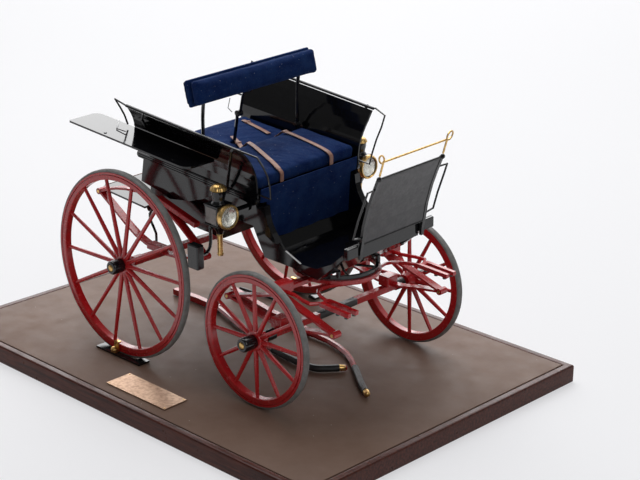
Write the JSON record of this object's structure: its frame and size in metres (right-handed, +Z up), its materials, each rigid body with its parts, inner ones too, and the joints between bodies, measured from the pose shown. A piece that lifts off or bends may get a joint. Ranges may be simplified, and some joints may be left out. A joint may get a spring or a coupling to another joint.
{
  "type": "model carriage",
  "caption": "Open horse-drawn phaeton model with flared seat sides, folding back-rest, turning front gear, spoked wheels and lamps, shafts laid loose on its wooden display base.",
  "frame": {"origin": "middle of the display base's flat underside", "axes": "+X towards the carriage's front, along the base's long side; +Y to the carriage's left; +Z up"},
  "size_m": [0.3996, 0.29, 0.2373],
  "materials": {
    "red_wood": "gloss crimson paint",
    "red_metal": "gloss crimson paint",
    "black_wood": "gloss black paint",
    "black_metal": "black paint",
    "navy_cloth": "navy broadcloth",
    "tan_leather": "tan leather",
    "dash_leather": "dark grey leather",
    "brass": "polished brass",
    "grey_rubber": "light grey rubber",
    "taupe_panel": "flat taupe covering",
    "mahogany": "satin mahogany"
  },
  "bodies": {
    "carriage": {"loose_shaft_long": "red_wood", "loose_shaft_short": "red_wood", "rear_axle": "red_metal", "rear_spring_right": "red_metal", "rear_spring_left": "red_metal", "side_panel_right": "black_wood", "side_panel_left": "black_wood", "belly_panel_right": "black_wood", "belly_panel_left": "black_wood", "tub_side_right": "black_wood", "tub_side_left": "black_wood", "tub_floor": "black_wood", "toe_beam": "black_wood", "seat_board": "black_wood", "wing_board_right": "black_wood", "wing_board_left": "black_wood", "lamp_right": "black_metal", "lamp_left": "black_metal", "upper_ring": "black_metal", "dash_irons": "black_metal", "side_irons_right": "black_metal", "side_irons_left": "black_metal", "clamp_plate_right": "black_metal", "clamp_plate_left": "black_metal", "front_cushion": "navy_cloth", "rear_cushion": "navy_cloth", "valance": "navy_cloth", "strap_right": "tan_leather", "strap_left": "tan_leather", "strap_rear": "tan_leather", "dash": "dash_leather", "rein_rail": "brass", "lamp_bezel_right": "brass", "lamp_bezel_left": "brass", "plaque": "brass", "base_panel": "taupe_panel", "base_moulding": "mahogany"},
    "rear_wheel_right": {"tyre_rear_right": "grey_rubber", "wheel_rear_right": "red_wood", "hub_cap_rear_right": "black_metal"},
    "rear_wheel_left": {"tyre_rear_left": "grey_rubber", "wheel_rear_left": "red_wood", "hub_cap_rear_left": "black_metal"},
    "forecarriage": {"front_axle": "red_metal", "front_spring_right": "red_metal", "front_spring_left": "red_metal", "transom": "red_metal"},
    "front_wheel_right": {"tyre_front_right": "grey_rubber", "wheel_front_right": "red_wood", "hub_cap_front_right": "black_metal"},
    "front_wheel_left": {"tyre_front_left": "grey_rubber", "wheel_front_left": "red_wood", "hub_cap_front_left": "black_metal"},
    "back_rest": {"backrest_frame": "black_metal", "backrest_pad_front": "navy_cloth", "backrest_pad_rear": "navy_cloth"},
    "tail_board": {"footboard": "black_wood"},
    "brake_gear": {"brake": "black_metal"},
    "rim_clamp_right": {"clamp_strap_right": "brass"},
    "rim_clamp_left": {"clamp_strap_left": "brass"}
  },
  "joints": [
    {"name": "rear_wheel_right_spin", "type": "hinge", "parent": "carriage", "child": "rear_wheel_right", "pos_m": [-0.05275, -0.08557, 0.0872], "axis": [0, 1, 0], "continuous": true},
    {"name": "rear_wheel_left_spin", "type": "hinge", "parent": "carriage", "child": "rear_wheel_left", "pos_m": [-0.05275, 0.09903, 0.0872], "axis": [0, 1, 0], "continuous": true},
    {"name": "forecarriage_turn", "type": "hinge", "parent": "carriage", "child": "forecarriage", "pos_m": [0.0808, 0.00598, 0.099], "axis": [0, 0, 1], "range_deg": [-20, 35]},
    {"name": "front_wheel_right_spin", "type": "hinge", "parent": "forecarriage", "child": "front_wheel_right", "pos_m": [0.08194, -0.07801, 0.06485], "axis": [-0.0136, 0.9999, 0], "continuous": true},
    {"name": "front_wheel_left_spin", "type": "hinge", "parent": "forecarriage", "child": "front_wheel_left", "pos_m": [0.07966, 0.08997, 0.06485], "axis": [-0.0136, 0.9999, 0], "continuous": true},
    {"name": "back_rest_fold", "type": "hinge", "parent": "carriage", "child": "back_rest", "pos_m": [-0.00935, 0.00597, 0.17609], "axis": [0, 0.9994, 0.0349], "range_deg": [-45, 50]},
    {"name": "tail_board_fold", "type": "hinge", "parent": "carriage", "child": "tail_board", "pos_m": [-0.07795, 0.00808, 0.11562], "axis": [0, 0.9994, 0.0349], "range_deg": [0, 85]},
    {"name": "brake_swing", "type": "hinge", "parent": "carriage", "child": "brake_gear", "pos_m": [0.00975, 0.0077, 0.12652], "axis": [0, 0.9994, 0.0349], "range_deg": [-20, 3]},
    {"name": "rim_clamp_right_slide", "type": "slide", "parent": "carriage", "child": "rim_clamp_right", "axis": [0, -1, 0], "range_m": [0, 0.009]},
    {"name": "rim_clamp_left_slide", "type": "slide", "parent": "carriage", "child": "rim_clamp_left", "axis": [0, 1, 0], "range_m": [0, 0.009]}
  ]
}
